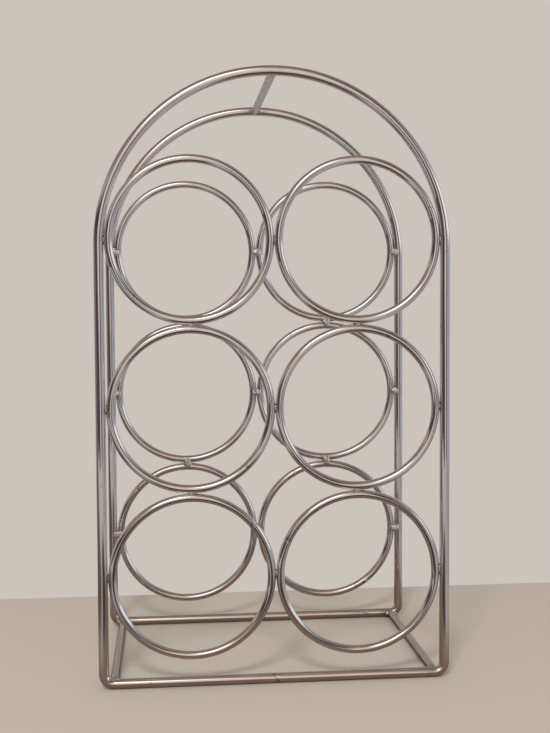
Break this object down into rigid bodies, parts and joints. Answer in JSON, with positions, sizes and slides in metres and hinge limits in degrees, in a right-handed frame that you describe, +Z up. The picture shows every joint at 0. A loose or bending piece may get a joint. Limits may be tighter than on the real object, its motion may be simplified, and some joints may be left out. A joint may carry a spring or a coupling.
{
  "type": "wine rack",
  "caption": "Free-standing chromed wire wine rack: arched hoops hold welded rings that bottles lie through, and crossbars join the hoops front to back.",
  "frame": {"origin": "middle of the footprint, on the surface that the rack stands on", "axes": "+Z up, -Y towards the front, where the bottles are pulled out, +X to the right as seen from the front"},
  "size_m": [0.2126, 0.14, 0.3688],
  "materials": {
    "hoop_chrome": "bright chrome plate on bent steel wire",
    "ring_chrome": "bright chrome plate on bent steel wire",
    "crossbar_chrome": "duller chrome plate on straight steel wire",
    "weld_chrome": "chrome plate on rough weld metal"
  },
  "bodies": {
    "root": {"front_hoop": "hoop_chrome", "front_ring_bottom_left": "ring_chrome", "front_ring_bottom_right": "ring_chrome", "front_ring_middle_left": "ring_chrome", "front_ring_middle_right": "ring_chrome", "front_ring_top_left": "ring_chrome", "front_ring_top_right": "ring_chrome", "front_ring_welds": "weld_chrome", "back_hoop": "hoop_chrome", "back_ring_bottom_left": "ring_chrome", "back_ring_bottom_right": "ring_chrome", "back_ring_middle_left": "ring_chrome", "back_ring_middle_right": "ring_chrome", "back_ring_top_left": "ring_chrome", "back_ring_top_right": "ring_chrome", "back_ring_welds": "weld_chrome", "top_crossbar": "crossbar_chrome", "left_bottom_crossbar": "crossbar_chrome", "right_bottom_crossbar": "crossbar_chrome", "crossbar_welds": "weld_chrome"}
  },
  "joints": []
}
